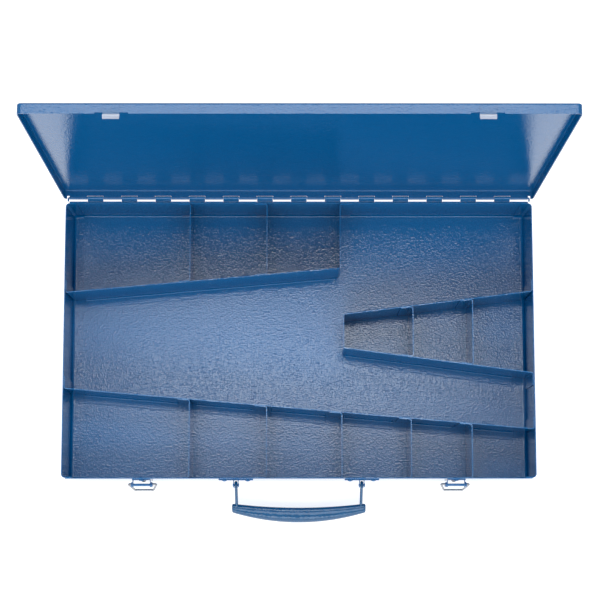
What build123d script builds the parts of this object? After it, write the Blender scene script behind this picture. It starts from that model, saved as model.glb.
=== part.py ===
from build123d import *
import os
from math import asin, atan2, cos, degrees, hypot, radians, sin, sqrt

# A sheet-steel compartment case with its lid open. Millimetres, +Z up.
# The origin is the middle of the base's underside, the front is -Y and the hinge is at +Y.

# Case
case_width = 440.0
case_depth = 260.0
case_height = 60.0
sheet = 0.8
seam = 0.05
floor_fold = 2.4
corner_fold = 3.6
lap = 9.0

# Dividers
divider_sheet = 0.8
divider_drop = 2.5
divider_fold = 1.6
foot_width = 8.0
end_flange = 11.0
foot_clear = 3.2

# Places of the dividers on the floor
rear_line_left_y = 44.6
rear_line_right_y = 67.5
island_x = 39.0
rear_cross_from_left = (117.5, 190.0)
fan_x = 42.0
fan_top_y = 23.7
fan_top_wall_y = 45.7
fan_bottom_y = -8.0
fan_bottom_wall_y = -31.3
fan_cross_from_right = (113.0, 57.0)
front_line_left_y = -45.9
front_line_right_y = -83.7
front_cross_from_left = (118.0, 190.0, 260.0)
front_cross_from_right = (115.5, 59.0)

# Hinge
hinge_back = 4.35
hinge_drop = 0.55
hinge_wire_radius = 0.8
hinge_fit = 0.05
hinge_pitch = 32.0
hinge_wire_short = 2.5
hinge_wire_bend = 1.2
base_knuckle_width = 14.8
hinge_gap = 0.15
lid_knuckle_width = 16.6
curl_angle = 260.0
leaf_sheet = 0.8
leaf_height = 14.0
leaf_drop = 0.3

# Lid
lid_open = 92.5
lid_sheet = 0.8
lid_gap = 0.5
lid_overlap = 1.95
lid_flange = 9.0
lid_fold = 1.6
lid_corner = 3.6

# Keepers on the lid and latches on the base
latch_x = 147.0
keeper_width = 13.0
keeper_sheet = 0.8
keeper_drop = 2.9
keeper_height = 7.0
hook_lip = 0.8
keeper_recess_width = 26.5
keeper_recess_depth = 1.0
moving_gap = 0.3

latch_plate_width = 17.0
latch_plate_bottom = 16.0
latch_plate_top = 48.5
latch_sheet = 0.8
latch_pivot_out = 4.9
latch_pivot_height = 41.0
latch_pin_radius = 1.0
latch_ear_radius = 2.4
pin_head = 0.45
pin_head_radius = 1.5
pin_end = 0.1
lever_web_out = 6.2
lever_knee_height = 31.0
lever_low_out = 4.6
lever_bottom = 15.5
lever_top = 37.5
lever_ear_gap = 0.3
lever_side_low = 27.0
lever_side_radius = 1.2
lever_flare = 0.6
lever_flare_height = 4.5
lever_tip_width = 13.0
lever_taper_height = 6.5
loop_pivot_out = 4.2
loop_pivot_height = 34.0
loop_wire_radius = 1.0
loop_root_width = 28.8
loop_bar_width = 19.6
loop_bend = 2.0
loop_lean = 13.6
loop_ear_radius = 2.2
loop_end = 0.6

# Handle
handle_span = 118.0
handle_wire_radius = 1.4
handle_pivot_height = 37.0
handle_reach = 40.7
handle_bend = 4.0
handle_wire_reach = 34.5
eye_angle = 285.0
bracket_width = 32.0
bracket_height = 18.0
bracket_sheet = 1.0
bracket_ear_sheet = 0.8
bracket_ear_radius = 2.4
grip_length = 127.0
grip_width = 17.0
grip_thickness = 10.0
grip_end_width = 9.4
grip_end_thickness = 7.4
grip_bow = 9.2
grip_end_round = 1.6
grip_steps = 4
grip_table_gap = 0.1

# Plates and rivets
plate_corner = 1.5
rivet_radius = 1.5
rivet_head_radius = 2.7
rivet_head = 0.8
rivet_tail_radius = 2.3
rivet_tail = 0.9
latch_rivet_heights = (21.5, 45.6)
bracket_rivet_spread = 11.0

os.makedirs("parts", exist_ok=True)

# Sizes that follow from the ones above
half_width = case_width / 2
half_depth = case_depth / 2
mid_sheet = sheet / 2
floor_top = sheet + seam
lap_top = 2 * (sheet + seam)
curl_radius = hinge_wire_radius + hinge_fit + leaf_sheet / 2
knuckle_radius = curl_radius + leaf_sheet / 2
hinge_y = half_depth + hinge_back
hinge_z = case_height - hinge_drop
latch_sides = (("left", -latch_x), ("right", latch_x))
handle_sides = (("left", -handle_span / 2), ("right", handle_span / 2))


def save(piece, name):
    """Names a finished piece and writes it out."""
    piece.part.label = name
    export_step(piece.part, f"parts/{name}.step")


def side_view(x):
    """Cross-section plane of the front wall: local x runs out of the wall, local y is up."""
    return Plane(origin=(x, -half_depth, 0), x_dir=(0, -1, 0), z_dir=(-1, 0, 0))


def along_run(start, end, height):
    """Cross-section plane of a straight divider run. Local x is to the right of the way from
    start to end, local y is up, and the plane's normal looks back from end to start."""
    run = Vector(end[0] - start[0], end[1] - start[1])
    back = run.normalized() * -1
    return Plane(origin=(end[0], end[1], height), x_dir=(-back.Y, back.X, 0), z_dir=back)


def evenly_spaced(count, pitch):
    """Middles of a row of things that is centred on x = 0."""
    return [(i - (count - 1) / 2) * pitch for i in range(count)]


def folded(plane, points, fold, thickness):
    """Section of a sheet that follows its middle line through points, with folds of that radius."""
    with BuildSketch(plane) as section:
        with BuildLine():
            FilletPolyline(*points, radius=fold)
            offset(amount=thickness / 2)
        make_face()
    return section.sketch


def ear(plane, centre, radius, foot_out):
    """Side view of an ear: a round end about centre and a neck back to the plate at foot_out."""
    with BuildSketch(plane) as section:
        with Locations(centre):
            Circle(radius)
        with Locations(((centre[0] + foot_out) / 2, centre[1])):
            Rectangle(centre[0] - foot_out, 2 * radius)
    return section.sketch


def disc(plane, centre, radius):
    """A round section about centre."""
    with BuildSketch(plane) as section:
        with Locations(centre):
            Circle(radius)
    return section.sketch


def rivet(plate_face):
    """A rivet through the front wall and a plate whose outer face is at plate_face."""
    dome = (rivet_head_radius**2 + rivet_head**2) / (2 * rivet_head)
    dome_angle = degrees(asin(rivet_head_radius / dome))
    head_face = plate_face + seam
    tail_face = -sheet - seam
    tail_end = tail_face - rivet_tail
    top = head_face + rivet_head
    with BuildPart() as piece:
        with BuildSketch(side_view(0)):
            with BuildLine():
                CenterArc((top - dome, 0), dome, 0, dome_angle)
                Polyline(
                    (head_face, rivet_head_radius),
                    (head_face, rivet_radius),
                    (tail_face, rivet_radius),
                    (tail_face, rivet_tail_radius),
                    (tail_end, rivet_radius),
                    (tail_end, 0),
                    (top, 0),
                )
            make_face()
        revolve(axis=Axis((0, -half_depth, 0), (0, 1, 0)))
    return piece.part


def cross_pin(centre, x, half_length):
    """A pin along X through ears, with a flat head at both ends."""
    middle = side_view(x)
    with BuildPart() as piece:
        extrude(disc(middle, centre, latch_pin_radius), amount=half_length, both=True)
        for end in (half_length, -half_length - pin_head):
            extrude(disc(middle.offset(end), centre, pin_head_radius), amount=pin_head)
    return piece


# The knuckles take turns along the wire, between its bent ends
wire_end_x = half_width - hinge_wire_short
knuckle_room = 2 * (wire_end_x - hinge_wire_radius - hinge_gap)
base_knuckle_count = int((knuckle_room - lid_knuckle_width) / hinge_pitch)
base_knuckle_x = evenly_spaced(base_knuckle_count, hinge_pitch)
lid_knuckle_x = evenly_spaced(base_knuckle_count + 1, hinge_pitch)

# Rivet holes in the front wall, as (x, z)
bracket_rivet_steps = (-bracket_rivet_spread, bracket_rivet_spread)
latch_rivet_spots = [(x, z) for _, x in latch_sides for z in latch_rivet_heights]
bracket_rivet_spots = [
    (x + step, handle_pivot_height)
    for _, x in handle_sides
    for step in bracket_rivet_steps
]

# Base sheet: floor, front wall and rear wall folded from one sheet
wall_mid = half_depth - mid_sheet

with BuildPart() as base_shell:
    outline = [
        (-wall_mid, case_height - mid_sheet),
        (-wall_mid, mid_sheet),
        (wall_mid, mid_sheet),
        (wall_mid, case_height - mid_sheet),
    ]
    trough = folded(Plane.YZ, outline, floor_fold - mid_sheet, sheet)
    extrude(trough, amount=half_width - corner_fold, both=True)
    with BuildSketch(Plane.XZ.offset(half_depth)):
        with Locations(*latch_rivet_spots, *bracket_rivet_spots):
            Circle(rivet_radius + seam)
    extrude(amount=-2 * sheet, mode=Mode.SUBTRACT)
save(base_shell, "base_shell")

# Hinge leaf: a strip on the outside of the rear wall, with a row of rolled tabs
leaf_mid = half_depth + seam + leaf_sheet / 2
leaf_top = case_height - leaf_drop
tab_height = hinge_z - curl_radius
tab_fold = 1.0
tab_root = tab_height - 2 * tab_fold

with BuildPart() as base_knuckle:
    with BuildSketch(Plane.YZ):
        with BuildLine():
            FilletPolyline(
                (leaf_mid, tab_root), (leaf_mid, tab_height), (hinge_y, tab_height), radius=tab_fold
            )
            CenterArc((hinge_y, hinge_z), curl_radius, -90, curl_angle)
            offset(amount=leaf_sheet / 2)
        make_face()
    extrude(amount=base_knuckle_width / 2, both=True)

with BuildPart() as hinge_leaf:
    with Locations((0, leaf_mid, leaf_top - leaf_height / 2)):
        Box(2 * (half_width - corner_fold), leaf_sheet, leaf_height)
    slot_width = base_knuckle_width + 2 * moving_gap
    slot_height = leaf_top - tab_height + tab_fold
    with Locations(*[(x, leaf_mid, leaf_top) for x in base_knuckle_x]):
        Box(slot_width, 2 * leaf_sheet, 2 * slot_height, mode=Mode.SUBTRACT)
    with Locations(*[(x, 0, 0) for x in base_knuckle_x]):
        add(base_knuckle.part)
save(hinge_leaf, "hinge_leaf")

# End walls: pressed pans whose lap flanges lie inside the base sheet
pan_length = lap + sheet
pan_depth = case_depth - 2 * (sheet + seam)

with BuildPart() as pan_hollow:
    with BuildSketch(Plane.XY.offset(lap_top - seam)):
        with Locations((half_width - pan_length / 2 - sheet, 0)):
            Rectangle(pan_length, pan_depth - 2 * sheet)
    extrude(amount=case_height)
    low = pan_hollow.edges().group_by(Axis.Z)[0]
    outer_low = low.filter_by(Axis.Y).sort_by(Axis.X)[-1:]
    uprights = pan_hollow.edges().filter_by(Axis.Z).sort_by(Axis.X)[-2:]
    fillet(low.filter_by(Axis.X) + outer_low + uprights, radius=corner_fold - sheet)

with BuildPart() as end_wall_right:
    with BuildSketch(Plane.XY.offset(floor_top)):
        with Locations((half_width - pan_length / 2, 0)):
            Rectangle(pan_length, pan_depth)
    extrude(amount=case_height - floor_top)
    low = end_wall_right.edges().group_by(Axis.Z)[0]
    outer_low = low.filter_by(Axis.Y).sort_by(Axis.X)[-1:]
    uprights = end_wall_right.edges().filter_by(Axis.Z).sort_by(Axis.X)[-2:]
    fillet(low.filter_by(Axis.X) + outer_low + uprights, radius=corner_fold)
    add(pan_hollow.part, mode=Mode.SUBTRACT)
save(end_wall_right, "end_wall_right")

with BuildPart() as end_wall_left:
    mirror(end_wall_right.part, about=Plane.YZ)
save(end_wall_left, "end_wall_left")

# The room that the dividers fill: inside the walls, above the floor and the lap flanges
divider_top = case_height - divider_drop
divider_mid = divider_sheet / 2
room_x = half_width - sheet - seam
room_y = half_depth - sheet - seam
lap_x = half_width - pan_length - seam

with BuildPart() as room:
    with BuildSketch(Plane.XZ) as along_room:
        with Locations((0, (lap_top + divider_top) / 2)):
            Rectangle(2 * room_x, divider_top - lap_top)
        fillet(along_room.vertices().group_by(Axis.Y)[0], radius=corner_fold - sheet - seam)
        with Locations((0, (floor_top + divider_top) / 2)):
            Rectangle(2 * lap_x, divider_top - floor_top)
    extrude(amount=half_depth, both=True)
    with BuildSketch(Plane.YZ) as across_room:
        with Locations((0, (floor_top + divider_top) / 2)):
            Rectangle(2 * room_y, divider_top - floor_top)
        fillet(across_room.vertices().group_by(Axis.Y)[0], radius=floor_fold - sheet - seam)
    extrude(amount=half_width, both=True, mode=Mode.INTERSECT)


def divider_walls(points):
    """Plan of a divider that stands on the floor along these points."""
    return folded(Plane.XY.offset(floor_top), points, divider_fold, divider_sheet)


def foot_section(plane):
    """Section of a wall foot that is folded to the right of its run."""
    rise = divider_mid + 2 * divider_fold
    corner = [(0, rise), (0, divider_mid), (foot_width, divider_mid)]
    return folded(plane, corner, divider_fold, divider_sheet)


def foot_cut(plane):
    """Section of the wall stock that makes way for a folded foot."""
    with BuildSketch(plane) as section:
        with Locations((0, 0)):
            Rectangle(4 * divider_sheet, 2 * (divider_mid + 2 * divider_fold))
    return section.sketch


def line_height(line, x):
    """The y of a plan line at x."""
    (x_0, y_0), (x_1, y_1) = line
    return y_0 + (y_1 - y_0) * (x - x_0) / (x_1 - x_0)


def beside(line, side):
    """A plan line moved to the rear (side 1) or the front (side -1) by one sheet and a seam."""
    (x_0, y_0), (x_1, y_1) = line
    step = side * (divider_sheet + seam) * hypot(x_1 - x_0, y_1 - y_0) / (x_1 - x_0)
    return ((x_0, y_0 + step), (x_1, y_1 + step))


def cross_points(x, lines):
    """Plan of a cross divider at x between two lines, with an end flange along each of them."""
    points = []
    for line in lines:
        y = line_height(line, x)
        points.append([(x, y), (x - end_flange, line_height(line, x - end_flange))])
    return [points[0][1], points[0][0], points[1][0], points[1][1]]


# Plan lines of the divider walls and of the walls that they run along
wall_x = room_x - divider_mid
wall_y = room_y - divider_mid
rear_line = ((-wall_x, rear_line_left_y), (island_x, rear_line_right_y))
fan_rear_line = ((fan_x, fan_top_y), (wall_x, fan_top_wall_y))
fan_front_line = ((fan_x, fan_bottom_y), (wall_x, fan_bottom_wall_y))
front_line = ((-wall_x, front_line_left_y), (wall_x, front_line_right_y))
rear_wall_line = ((-wall_x, wall_y), (wall_x, wall_y))
front_wall_line = ((-wall_x, -wall_y), (wall_x, -wall_y))

# Places of the cross dividers along X
rear_cross_x = [step - half_width for step in rear_cross_from_left]
fan_cross_x = [half_width - step for step in fan_cross_from_right]
front_cross_x = [step - half_width for step in front_cross_from_left]
front_cross_x += [half_width - step for step in front_cross_from_right]


def foot_run(line, from_x, to_x):
    """Two plan points of a foot on a line, in the order of its run."""
    return [(x, line_height(line, x)) for x in (from_x, to_x)]


def run_length(run):
    """Length of a foot's run."""
    return hypot(run[1][0] - run[0][0], run[1][1] - run[0][1])


# Rear divider: a slanted wall from the left end wall and a straight one to the rear wall
with BuildPart() as rear_divider:
    walls = [
        (-wall_x, rear_line_left_y + end_flange),
        rear_line[0],
        rear_line[1],
        (island_x, wall_y),
        (island_x + end_flange, wall_y),
    ]
    extrude(divider_walls(walls), amount=divider_top - floor_top)
    foot = foot_run(rear_line, -lap_x + foot_clear, island_x - foot_clear)
    foot_plane = along_run(*foot, floor_top)
    extrude(foot_cut(foot_plane), amount=run_length(foot), mode=Mode.SUBTRACT)
    extrude(foot_section(foot_plane), amount=run_length(foot))
    add(room.part, mode=Mode.INTERSECT)
save(rear_divider, "rear_divider")

for number, x in enumerate(rear_cross_x, start=1):
    with BuildPart() as rear_cross_divider:
        walls = cross_points(x, (beside(rear_line, 1), rear_wall_line))
        extrude(divider_walls(walls), amount=divider_top - floor_top)
        add(room.part, mode=Mode.INTERSECT)
    save(rear_cross_divider, f"rear_cross_divider_{number}")

# Fan divider: one sheet round the nose of the fan, with both ends on the right end wall
with BuildPart() as fan_divider:
    walls = [
        (wall_x, fan_top_wall_y + end_flange),
        fan_rear_line[1],
        fan_rear_line[0],
        fan_front_line[0],
        fan_front_line[1],
        (wall_x, fan_bottom_wall_y - end_flange),
    ]
    extrude(divider_walls(walls), amount=divider_top - floor_top)
    rear_foot = foot_run(fan_rear_line, lap_x - foot_clear, fan_x + foot_clear)
    front_foot = foot_run(fan_front_line, fan_x + foot_clear, lap_x - foot_clear)
    for foot in (rear_foot, front_foot):
        foot_plane = along_run(*foot, floor_top)
        extrude(foot_cut(foot_plane), amount=run_length(foot), mode=Mode.SUBTRACT)
        extrude(foot_section(foot_plane), amount=run_length(foot))
    add(room.part, mode=Mode.INTERSECT)
save(fan_divider, "fan_divider")

for number, x in enumerate(fan_cross_x, start=1):
    with BuildPart() as fan_cross_divider:
        walls = cross_points(x, (beside(fan_front_line, 1), beside(fan_rear_line, -1)))
        extrude(divider_walls(walls), amount=divider_top - floor_top)
        add(room.part, mode=Mode.INTERSECT)
    save(fan_cross_divider, f"fan_cross_divider_{number}")

# Front divider: a slanted wall from end wall to end wall, with a foot between its cross dividers
with BuildPart() as front_divider:
    walls = [
        (-wall_x, front_line_left_y + end_flange),
        front_line[0],
        front_line[1],
        (wall_x, front_line_right_y + end_flange),
    ]
    extrude(divider_walls(walls), amount=divider_top - floor_top)
    foot_starts = [-lap_x + foot_clear] + [x + foot_clear for x in front_cross_x]
    foot_ends = [x - end_flange - foot_clear for x in front_cross_x] + [lap_x - foot_clear]
    for from_x, to_x in zip(foot_starts, foot_ends):
        foot = foot_run(front_line, from_x, to_x)
        foot_plane = along_run(*foot, floor_top)
        extrude(foot_cut(foot_plane), amount=run_length(foot), mode=Mode.SUBTRACT)
        extrude(foot_section(foot_plane), amount=run_length(foot))
    add(room.part, mode=Mode.INTERSECT)
save(front_divider, "front_divider")

for number, x in enumerate(front_cross_x, start=1):
    with BuildPart() as front_cross_divider:
        walls = cross_points(x, (beside(front_line, -1), front_wall_line))
        extrude(divider_walls(walls), amount=divider_top - floor_top)
        add(room.part, mode=Mode.INTERSECT)
    save(front_cross_divider, f"front_cross_divider_{number}")

# Hinge wire, with both ends bent to the rear wall so that it can't slide out
wire_leg = hinge_back - leaf_sheet - 2 * seam
with BuildPart() as hinge_wire:
    with BuildLine(Plane(origin=(0, hinge_y, hinge_z))) as wire:
        FilletPolyline(
            (-wire_end_x, -wire_leg),
            (-wire_end_x, 0),
            (wire_end_x, 0),
            (wire_end_x, -wire_leg),
            radius=hinge_wire_bend,
        )
    with BuildSketch(Plane(origin=wire.line @ 0, z_dir=wire.line % 0)):
        Circle(hinge_wire_radius)
    sweep(path=wire.line)
save(hinge_wire, "hinge_wire")

# Lid, drawn in its own frame: the origin on the hinge line, -Y over the base when it is shut
lid_turn = radians(lid_open)
hinge_point = (0, hinge_y, hinge_z)
lid_frame = Plane(origin=hinge_point, x_dir=(1, 0, 0), z_dir=(0, sin(lid_turn), cos(lid_turn)))
lid_side = Plane(origin=hinge_point, x_dir=lid_frame.y_dir, z_dir=(1, 0, 0))
lid_up = Axis(origin=hinge_point, direction=lid_frame.z_dir)
lid_back = Axis(origin=hinge_point, direction=lid_frame.y_dir)
lid_half = half_width + lid_gap + lid_sheet
lid_front = hinge_back + case_depth + lid_gap + lid_sheet
lid_rear = curl_radius - lid_sheet / 2
lid_low = hinge_drop - lid_overlap
lid_top = lid_low + lid_flange
lid_notch = sqrt((knuckle_radius + hinge_gap) ** 2 - lid_rear**2)


def lid_block(inset):
    """The lid as a full block, smaller by inset at its top and all round."""
    with BuildPart() as block:
        with BuildSketch(lid_frame.offset(lid_top - inset)):
            with Locations((0, -(lid_front + lid_rear) / 2)):
                Rectangle(2 * (lid_half - inset), lid_front - lid_rear - 2 * inset)
        extrude(amount=-lid_flange)
        fillet(block.edges().filter_by(lid_up), radius=lid_corner - inset)
        fillet(block.faces().sort_by(lid_up)[-1].edges(), radius=lid_fold - inset)
    return block.part


with BuildPart() as lid_knuckle:
    with BuildSketch(lid_side):
        with BuildLine():
            Line((-curl_radius, 2 * lid_notch), (-curl_radius, 0))
            CenterArc((0, 0), curl_radius, 180, curl_angle)
            offset(amount=lid_sheet / 2)
        make_face()
    extrude(amount=lid_knuckle_width / 2, both=True)

with BuildPart() as lid_shell:
    add(lid_block(0))
    add(lid_block(lid_sheet), mode=Mode.SUBTRACT)
    with BuildSketch(lid_frame.offset(lid_low)):
        with Locations(*[(x, -lid_front) for _, x in latch_sides]):
            Rectangle(keeper_recess_width, 4 * lid_sheet)
    extrude(amount=keeper_recess_depth, mode=Mode.SUBTRACT)
    with BuildSketch(lid_frame.offset(lid_low)):
        with Locations((0, -curl_radius)):
            Rectangle(2 * (wire_end_x + hinge_wire_radius + hinge_gap), 2 * lid_sheet)
    extrude(amount=lid_notch - lid_low, mode=Mode.SUBTRACT)
    with Locations(*[(x, 0, 0) for x in lid_knuckle_x]):
        add(lid_knuckle.part)
save(lid_shell, "lid_shell")

# Keepers: a strap on the lid's front flange that ends in a hook open to the top
hook_radius = loop_wire_radius + moving_gap + keeper_sheet / 2
strap_y = -(lid_front + seam + keeper_sheet / 2)
hook_y = strap_y - hook_radius
hook_z = lid_low - keeper_drop

for side, x in latch_sides:
    with BuildPart() as keeper:
        with BuildSketch(lid_side.offset(x)):
            with BuildLine():
                Line((strap_y, lid_low + keeper_height), (strap_y, hook_z))
                CenterArc((hook_y, hook_z), hook_radius, 0, -180)
                Line((hook_y - hook_radius, hook_z), (hook_y - hook_radius, hook_z + hook_lip))
                offset(amount=keeper_sheet / 2)
            make_face()
        extrude(amount=keeper_width / 2, both=True)
    save(keeper, f"keeper_{side}")

# Latches: a base plate with two ears, a lever on a pin, and a wire loop that hangs on the lever
plate_face = seam + latch_sheet
latch_pivot = (latch_pivot_out, latch_pivot_height)
loop_pivot = (loop_pivot_out, loop_pivot_height)
pin_hole = latch_pin_radius + hinge_fit
loop_hole = loop_wire_radius + hinge_fit
cheek_in = latch_plate_width / 2 + lever_ear_gap
cheek_out = cheek_in + latch_sheet
web_mid = lever_web_out - latch_sheet / 2
low_mid = lever_low_out - latch_sheet / 2
lean = radians(loop_lean)
hook_out = -(hook_y + half_depth + hinge_y)
loop_reach = hypot(hook_out - loop_pivot_out, hook_z + hinge_z - loop_pivot_height)

with BuildPart() as lever_middle:
    with BuildSketch(side_view(0)):
        with BuildLine():
            Polyline(
                (web_mid, lever_top),
                (web_mid, lever_knee_height),
                (low_mid, lever_bottom + lever_flare_height),
                (low_mid + lever_flare, lever_bottom),
            )
            offset(amount=latch_sheet / 2)
        make_face()
    extrude(amount=cheek_out, both=True)
    for end in (cheek_in, -cheek_out):
        with BuildSketch(side_view(0).offset(end)):
            with Locations(latch_pivot):
                Circle(latch_ear_radius)
            with Locations(loop_pivot):
                Circle(loop_ear_radius)
            with Locations(((web_mid + low_mid) / 2, lever_side_low)):
                Circle(lever_side_radius)
            make_hull()
        extrude(amount=latch_sheet)
    extrude(disc(side_view(0), latch_pivot, pin_hole), amount=2 * cheek_out, both=True, mode=Mode.SUBTRACT)
    extrude(disc(side_view(0), loop_pivot, loop_hole), amount=2 * cheek_out, both=True, mode=Mode.SUBTRACT)
    with BuildSketch(Plane.XZ.offset(half_depth)):
        tip_x = lever_tip_width / 2
        taper_top = lever_bottom + lever_taper_height
        for turn in (1, -1):
            with BuildLine():
                Polyline(
                    (turn * tip_x, 0),
                    (turn * tip_x, lever_bottom),
                    (turn * cheek_out, taper_top),
                    (turn * 2 * cheek_out, taper_top),
                    (turn * 2 * cheek_out, 0),
                    close=True,
                )
            make_face()
    extrude(amount=latch_plate_top, mode=Mode.SUBTRACT)

for side, x in latch_sides:
    middle = side_view(x)

    with BuildPart() as latch_base:
        with BuildSketch(Plane.XZ.offset(half_depth + seam)):
            with Locations((x, (latch_plate_bottom + latch_plate_top) / 2)):
                plate = Rectangle(latch_plate_width, latch_plate_top - latch_plate_bottom)
                fillet(plate.vertices(), radius=plate_corner)
            with Locations(*[(x, z) for z in latch_rivet_heights]):
                Circle(rivet_radius + seam, mode=Mode.SUBTRACT)
        extrude(amount=latch_sheet)
        for end in (latch_plate_width / 2 - latch_sheet, -latch_plate_width / 2):
            ear_plane = middle.offset(end)
            ear_foot = plate_face - latch_sheet / 2
            extrude(ear(ear_plane, latch_pivot, latch_ear_radius, ear_foot), amount=latch_sheet)
        extrude(disc(middle, latch_pivot, pin_hole), amount=cheek_in, both=True, mode=Mode.SUBTRACT)
    save(latch_base, f"latch_base_{side}")

    save(cross_pin(latch_pivot, x, cheek_out + pin_end), f"latch_pin_{side}")

    with BuildPart() as latch_lever:
        with Locations((x, 0, 0)):
            add(lever_middle.part)
    save(latch_lever, f"latch_lever_{side}")

    loop_origin = (x, -half_depth - loop_pivot_out, loop_pivot_height)
    loop_plane = Plane(origin=loop_origin, x_dir=(1, 0, 0), z_dir=(0, cos(lean), -sin(lean)))
    root_x = loop_root_width / 2 - loop_wire_radius
    bar_x = loop_bar_width / 2 - loop_wire_radius
    with BuildPart() as latch_loop:
        with BuildLine(loop_plane) as wire:
            FilletPolyline(
                (cheek_in - loop_end, 0),
                (root_x, 0),
                (bar_x, loop_reach),
                (-bar_x, loop_reach),
                (-root_x, 0),
                (loop_end - cheek_in, 0),
                radius=loop_bend,
            )
        with BuildSketch(Plane(origin=wire.line @ 0, z_dir=wire.line % 0)):
            Circle(loop_wire_radius)
        sweep(path=wire.line)
    save(latch_loop, f"latch_loop_{side}")

with BuildPart() as latch_rivets:
    with Locations(*[(x, 0, z) for x, z in latch_rivet_spots]):
        add(rivet(plate_face))
save(latch_rivets, "latch_rivets")

# Handle: a wire bail with an eye at both ends, a moulded grip on it, and a bracket for each eye
bracket_face = seam + bracket_sheet
eye_radius = latch_pin_radius + hinge_fit + handle_wire_radius
handle_out = bracket_face + moving_gap + eye_radius + handle_wire_radius
handle_pivot = (handle_out, handle_pivot_height)
grip_tip = hypot(handle_reach, eye_radius)
handle_tilt = radians(45)
for _ in range(30):
    grip_low = hypot(grip_width / 2 * sin(handle_tilt), grip_thickness / 2 * cos(handle_tilt))
    grip_drop = handle_pivot_height - grip_low - grip_table_gap
    handle_tilt = asin(grip_drop / grip_tip) - atan2(eye_radius, handle_reach)

handle_plane = Plane(
    origin=(0, -half_depth - handle_out, handle_pivot_height),
    x_dir=(1, 0, 0),
    z_dir=(0, sin(handle_tilt), -cos(handle_tilt)),
)
bail_plane = handle_plane.offset(eye_radius)
bail_x = handle_span / 2


def bail(radius):
    """The bail's wire round the grip, with that wire radius."""
    with BuildPart() as piece:
        with BuildLine(bail_plane) as wire:
            FilletPolyline(
                (-bail_x, 0),
                (-bail_x, handle_wire_reach),
                (bail_x, handle_wire_reach),
                (bail_x, 0),
                radius=handle_bend,
            )
        with BuildSketch(Plane(origin=wire.line @ 0, z_dir=wire.line % 0)):
            Circle(radius)
        sweep(path=wire.line)
    return piece.part


with BuildPart() as handle_bail:
    add(bail(handle_wire_radius))
    for _, x in handle_sides:
        eye_origin = (x, -half_depth - handle_out, handle_pivot_height)
        eye_plane = Plane(origin=eye_origin, x_dir=handle_plane.y_dir, z_dir=(-1, 0, 0))
        with BuildLine(eye_plane) as eye_wire:
            CenterArc((0, 0), eye_radius, -90, -eye_angle)
        with BuildSketch(Plane(origin=eye_wire.line @ 0, z_dir=eye_wire.line % 0)):
            Circle(handle_wire_radius)
        sweep(path=eye_wire.line)
save(handle_bail, "handle_bail")

with BuildPart() as handle_grip:
    for step in range(-grip_steps, grip_steps + 1):
        part_way = step / grip_steps
        fullness = 1 - part_way**2
        width = grip_end_width + (grip_width - grip_end_width) * fullness
        thickness = grip_end_thickness + (grip_thickness - grip_end_thickness) * fullness
        grip_x = part_way * grip_length / 2
        section_plane = Plane(
            origin=bail_plane.from_local_coords((grip_x, handle_reach - grip_bow * part_way**2, 0)),
            x_dir=handle_plane.y_dir,
            z_dir=(1, 0, 0),
        )
        with BuildSketch(section_plane):
            Ellipse(width / 2, thickness / 2)
    loft()
    ends = handle_grip.faces().sort_by(Axis.X)
    fillet(ends[0].edges() + ends[-1].edges(), radius=grip_end_round)
    add(bail(handle_wire_radius + seam), mode=Mode.SUBTRACT)
save(handle_grip, "handle_grip")

for side, x in handle_sides:
    middle = side_view(x)
    ear_in = handle_wire_radius + moving_gap
    ear_out = ear_in + bracket_ear_sheet

    with BuildPart() as handle_bracket:
        with BuildSketch(Plane.XZ.offset(half_depth + seam)):
            with Locations((x, handle_pivot_height)):
                plate = Rectangle(bracket_width, bracket_height)
                fillet(plate.vertices(), radius=plate_corner)
            with Locations(*[(x + step, handle_pivot_height) for step in bracket_rivet_steps]):
                Circle(rivet_radius + seam, mode=Mode.SUBTRACT)
        extrude(amount=bracket_sheet)
        for end in (ear_in, -ear_out):
            ear_plane = middle.offset(end)
            ear_foot = bracket_face - bracket_sheet / 2
            extrude(ear(ear_plane, handle_pivot, bracket_ear_radius, ear_foot), amount=bracket_ear_sheet)
        extrude(disc(middle, handle_pivot, pin_hole), amount=ear_out, both=True, mode=Mode.SUBTRACT)
    save(handle_bracket, f"handle_bracket_{side}")

    save(cross_pin(handle_pivot, x, ear_out + pin_end), f"handle_pin_{side}")

with BuildPart() as bracket_rivets:
    with Locations(*[(x, 0, z) for x, z in bracket_rivet_spots]):
        add(rivet(bracket_face))
save(bracket_rivets, "bracket_rivets")
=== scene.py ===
"""Dresses the compartment box and sets it on a pale table, seen as in the photograph."""

import math

import bpy
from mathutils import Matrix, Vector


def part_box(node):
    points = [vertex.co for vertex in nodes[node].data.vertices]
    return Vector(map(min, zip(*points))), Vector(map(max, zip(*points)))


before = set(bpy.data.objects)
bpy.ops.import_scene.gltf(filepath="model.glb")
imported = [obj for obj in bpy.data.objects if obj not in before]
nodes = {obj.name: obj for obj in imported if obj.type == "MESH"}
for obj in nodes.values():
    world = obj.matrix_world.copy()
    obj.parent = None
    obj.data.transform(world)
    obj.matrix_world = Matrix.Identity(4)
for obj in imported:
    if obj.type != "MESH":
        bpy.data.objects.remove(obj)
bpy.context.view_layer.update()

# Camera: the photograph's place, tilt and field of view. Angles are in degrees, lens and
# sensor in millimetres, and the shift is a share of the frame.
CAMERA_PLACE = (-0.0037, -0.181, 1.5344)
CAMERA_TILT = 6.963
CAMERA_TURN = -0.183
CAMERA_LENS = 95.42
CAMERA_SENSOR = 36.0
CAMERA_SHIFT = 0.0667

# World and table, where a strength of 1 renders as white
WHITE = (1.0, 1.0, 1.0, 1.0)
WORLD_LIGHT = 0.64
WORLD_SEEN = 1.0
TABLE_SIZE = 14.0
TABLE_DROP = 0.0002
TABLE_COLOUR = (0.8, 0.8, 0.8, 1.0)
TABLE_GLOW = 0.62

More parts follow.
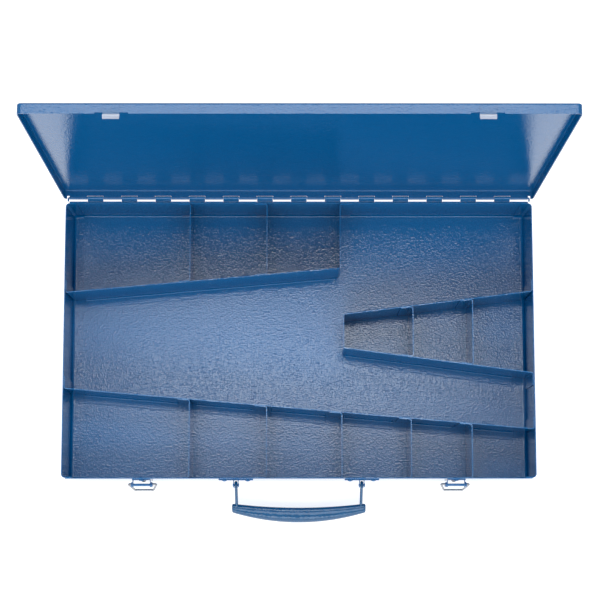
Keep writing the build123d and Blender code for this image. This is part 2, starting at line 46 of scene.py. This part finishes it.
# Softboxes: name, middle, size, tilt about X in degrees, and radiance, where 1 is white
SOFTBOXES = (
    ("softbox_wide", (0.0, 0.21, 2.3), (1.15, 0.29), 0.0, 3.6),
    ("softbox_core", (0.0, 0.21, 2.29), (0.8, 0.22), 0.0, 4.2),
    ("softbox_rear", (0.0, 1.0, 2.3), (1.5, 0.6), 0.0, 4.8),
    ("softbox_front", (0.0, -1.3, 1.7), (1.8, 1.0), 38.0, 3.0),
    ("softbox_low", (0.0, -1.1, 0.17), (1.1, 0.24), 90.0, 3.2),
)
SOFTBOX_COLOUR = (0.93, 1.0, 1.07)

# Enamel colours, linear: light in the middle of each dimple, deep at its rim, a painted sheen
# of the hammered paint
ENAMEL_LIGHT = (0.002, 0.15, 0.385, 1.0)
ENAMEL_DEEP = (0.001, 0.1, 0.28, 1.0)
# The lid's pair is the same paint made darker: painted shade for the upright lid
LID_SHADED_LIGHT = (0.001, 0.115, 0.31, 1.0)
LID_SHADED_DEEP = (0.001, 0.078, 0.23, 1.0)
GRIP_LIGHT = (0.002, 0.09, 0.22, 1.0)
GRIP_DEEP = (0.001, 0.055, 0.15, 1.0)

# Hammered skin: the dimples' width and depth, and slower swells that run under them
DIMPLE_WIDTH = 0.0015
DIMPLE_DEPTH = 0.00008
DIMPLE_SMOOTHNESS = 0.05
GRIP_DIMPLE_WIDTH = 0.0018
GRIP_DIMPLE_DEPTH = 0.0001
SWELLS_PER_DIMPLE = 0.45
SWELL_SHARE = 0.5

# Enamel's clear coat over its matt colour
COLOUR_ROUGHNESS = 0.6
COAT_HAZE = 0.04
LID_HAZE = 0.12
COAT_IOR = 1.5

# Keepers: bare plating on the hook, which stands this far out of the paint
HOOK_REACH = 0.0043
HOOK_BLUR = 0.0003
HOOK_STEEL = (0.36, 0.39, 0.47, 1.0)

# Plated wire: marks per metre, their depth, and the span of colour and roughness
WIRE_DARK = (0.26, 0.26, 0.27, 1.0)
WIRE_BRIGHT = (0.42, 0.42, 0.43, 1.0)
WIRE_SMOOTHEST = 0.22
WIRE_ROUGHEST = 0.42
MARK_SCALE = 900.0
MARK_DEPTH = 0.00002
MARK_STRENGTH = 0.4


class Nodes:
    """The node tree of a material or the world, with short calls to add and link its nodes."""

    def __init__(self, owner):
        owner.use_nodes = True
        self.tree = owner.node_tree
        self.tree.nodes.clear()

    def add(self, kind, **settings):
        """Adds a node. A setting names a socket, with _ for a space, or else a property."""
        node = self.tree.nodes.new(kind)
        for key, value in settings.items():
            socket = key.replace("_", " ")
            if socket in node.inputs:
                node.inputs[socket].default_value = value
            else:
                setattr(node, key, value)
        return node

    def link(self, out_socket, in_socket):
        self.tree.links.new(out_socket, in_socket)


def hammer_enamel(
    name, light, deep, width=DIMPLE_WIDTH, depth=DIMPLE_DEPTH, haze=COAT_HAZE, bare_below=None
):
    """Glossy blue enamel with a hammered skin of small dimples. Below the Y of bare_below
    the paint has worn off the plated steel."""
    material = bpy.data.materials.new(name)
    n = Nodes(material)
    place = n.add("ShaderNodeTexCoord").outputs["Object"]

    dimples = n.add(
        "ShaderNodeTexVoronoi",
        feature="SMOOTH_F1",
        Scale=1.0 / width,
        Smoothness=DIMPLE_SMOOTHNESS,
        Randomness=1.0,
    )
    n.link(place, dimples.inputs["Vector"])
    swell = n.add(
        "ShaderNodeTexNoise", Scale=SWELLS_PER_DIMPLE / width, Detail=1.0, Roughness=0.5
    )
    n.link(place, swell.inputs["Vector"])
    height = n.add("ShaderNodeMath", operation="MULTIPLY_ADD")
    n.link(swell.outputs["Fac"], height.inputs[0])
    height.inputs[1].default_value = SWELL_SHARE
    n.link(dimples.outputs["Distance"], height.inputs[2])
    bump = n.add("ShaderNodeBump", Strength=1.0, Distance=depth)
    n.link(height.outputs["Value"], bump.inputs["Height"])

    # Painted sheen: the colour is lighter in each dimple's middle and darker at its rim
    tone = n.add("ShaderNodeMix", data_type="RGBA", A=light, B=deep)
    n.link(dimples.outputs["Distance"], tone.inputs["Factor"])

    paint = n.add(
        "ShaderNodeBsdfPrincipled",
        Roughness=COLOUR_ROUGHNESS,
        Specular_IOR_Level=0.0,
        Coat_Weight=1.0,
        Coat_Roughness=haze,
        Coat_IOR=COAT_IOR,
    )
    n.link(bump.outputs["Normal"], paint.inputs["Normal"])
    n.link(bump.outputs["Normal"], paint.inputs["Coat Normal"])
    if bare_below is None:
        n.link(tone.outputs["Result"], paint.inputs["Base Color"])
    else:
        split = n.add("ShaderNodeSeparateXYZ")
        n.link(place, split.inputs["Vector"])
        bare = n.add(
            "ShaderNodeMapRange",
            From_Min=bare_below - HOOK_BLUR,
            From_Max=bare_below + HOOK_BLUR,
            To_Min=1.0,
            To_Max=0.0,
        )
        n.link(split.outputs["Y"], bare.inputs["Value"])
        worn = n.add("ShaderNodeMix", data_type="RGBA", B=HOOK_STEEL)
        n.link(bare.outputs["Result"], worn.inputs["Factor"])
        n.link(tone.outputs["Result"], worn.inputs["A"])
        n.link(worn.outputs["Result"], paint.inputs["Base Color"])
        n.link(bare.outputs["Result"], paint.inputs["Metallic"])

    out = n.add("ShaderNodeOutputMaterial")
    n.link(paint.outputs["BSDF"], out.inputs["Surface"])
    return material


def plated_wire():
    """Dull bright plating with fine marks."""
    material = bpy.data.materials.new("plated_wire")
    n = Nodes(material)
    place = n.add("ShaderNodeTexCoord").outputs["Object"]
    marks = n.add("ShaderNodeTexNoise", Scale=MARK_SCALE, Detail=3.0, Roughness=0.6)
    n.link(place, marks.inputs["Vector"])

    rough = n.add("ShaderNodeMapRange", To_Min=WIRE_SMOOTHEST, To_Max=WIRE_ROUGHEST)
    n.link(marks.outputs["Fac"], rough.inputs["Value"])
    tone = n.add("ShaderNodeMix", data_type="RGBA", A=WIRE_DARK, B=WIRE_BRIGHT)
    n.link(marks.outputs["Fac"], tone.inputs["Factor"])
    bump = n.add("ShaderNodeBump", Strength=MARK_STRENGTH, Distance=MARK_DEPTH)
    n.link(marks.outputs["Fac"], bump.inputs["Height"])

    steel = n.add("ShaderNodeBsdfPrincipled", Metallic=1.0)
    n.link(tone.outputs["Result"], steel.inputs["Base Color"])
    n.link(rough.outputs["Result"], steel.inputs["Roughness"])
    n.link(bump.outputs["Normal"], steel.inputs["Normal"])
    out = n.add("ShaderNodeOutputMaterial")
    n.link(steel.outputs["BSDF"], out.inputs["Surface"])
    return material


def table_white():
    """White table: it keeps the soft shadow, and glows enough to be white round it."""
    material = bpy.data.materials.new("table_white")
    n = Nodes(material)
    white = n.add("ShaderNodeBsdfDiffuse", Color=TABLE_COLOUR)
    path = n.add("ShaderNodeLightPath")
    seen = n.add("ShaderNodeMath", operation="MAXIMUM")
    n.link(path.outputs["Is Camera Ray"], seen.inputs[0])
    n.link(path.outputs["Is Glossy Ray"], seen.inputs[1])
    level = n.add("ShaderNodeMath", operation="MULTIPLY")
    n.link(seen.outputs["Value"], level.inputs[0])
    level.inputs[1].default_value = TABLE_GLOW
    glow = n.add("ShaderNodeEmission", Color=WHITE)
    n.link(level.outputs["Value"], glow.inputs["Strength"])
    both = n.add("ShaderNodeAddShader")
    n.link(white.outputs["BSDF"], both.inputs[0])
    n.link(glow.outputs["Emission"], both.inputs[1])
    out = n.add("ShaderNodeOutputMaterial")
    n.link(both.outputs["Shader"], out.inputs["Surface"])
    return material


def studio_world():
    """Even light from all round, which the camera sees as white."""
    world = bpy.data.worlds.new("studio")
    n = Nodes(world)
    path = n.add("ShaderNodeLightPath")
    level = n.add("ShaderNodeMapRange", To_Min=WORLD_LIGHT, To_Max=WORLD_SEEN)
    n.link(path.outputs["Is Camera Ray"], level.inputs["Value"])
    sky = n.add("ShaderNodeBackground", Color=WHITE)
    n.link(level.outputs["Result"], sky.inputs["Strength"])
    out = n.add("ShaderNodeOutputWorld")
    n.link(sky.outputs["Background"], out.inputs["Surface"])
    return world


def hang_softbox(name, place, size, tilt, radiance):
    """A rectangular panel of light that faces down before it is tilted."""
    panel = bpy.data.lights.new(name, "AREA")
    panel.shape = "RECTANGLE"
    panel.size, panel.size_y = size
    panel.energy = radiance * math.pi * size[0] * size[1]
    panel.color = SOFTBOX_COLOUR
    softbox = bpy.data.objects.new(name, panel)
    softbox.location = place
    softbox.rotation_euler = (math.radians(tilt), 0.0, 0.0)
    bpy.context.scene.collection.objects.link(softbox)


def photo_camera():
    """The photograph's camera, turned about Y first and then tilted about X."""
    lens = bpy.data.cameras.new("camera")
    lens.sensor_width = CAMERA_SENSOR
    lens.lens = CAMERA_LENS
    lens.shift_y = CAMERA_SHIFT
    camera = bpy.data.objects.new("camera", lens)
    camera.location = CAMERA_PLACE
    camera.rotation_mode = "ZYX"
    camera.rotation_euler = (math.radians(CAMERA_TILT), math.radians(CAMERA_TURN), 0.0)
    bpy.context.scene.collection.objects.link(camera)
    return camera


# Finishes of the CAD nodes
enamel = hammer_enamel("hammer_enamel", ENAMEL_LIGHT, ENAMEL_DEEP)
# The lid and keepers take the darker lid colours, painted shade on the same paint
lid_shaded_enamel = hammer_enamel("lid_shaded_enamel", LID_SHADED_LIGHT, LID_SHADED_DEEP, haze=LID_HAZE)
hook_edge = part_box("keeper_left")[0][1] + HOOK_REACH
keeper_shaded_enamel = hammer_enamel(
    "keeper_shaded_enamel", LID_SHADED_LIGHT, LID_SHADED_DEEP, haze=LID_HAZE, bare_below=hook_edge
)
grip_enamel = hammer_enamel(
    "grip_enamel", GRIP_LIGHT, GRIP_DEEP, width=GRIP_DIMPLE_WIDTH, depth=GRIP_DIMPLE_DEPTH
)
wire_steel = plated_wire()
FINISHES = {
    "lid_shell": lid_shaded_enamel,
    "keeper_left": keeper_shaded_enamel,
    "keeper_right": keeper_shaded_enamel,
    "handle_grip": grip_enamel,
    "handle_bail": grip_enamel,
    "latch_loop_left": wire_steel,
    "latch_loop_right": wire_steel,
}
for name, node in nodes.items():
    node.data.materials.clear()
    node.data.materials.append(FINISHES.get(name, enamel))

# Table, light and camera
bpy.ops.mesh.primitive_plane_add(size=TABLE_SIZE, location=(0.0, 0.0, -TABLE_DROP))
table = bpy.context.object
table.name = "table"
table.data.materials.append(table_white())

bpy.context.scene.world = studio_world()
for softbox_facts in SOFTBOXES:
    hang_softbox(*softbox_facts)
bpy.context.scene.camera = photo_camera()
bpy.context.scene.view_settings.view_transform = "Standard"
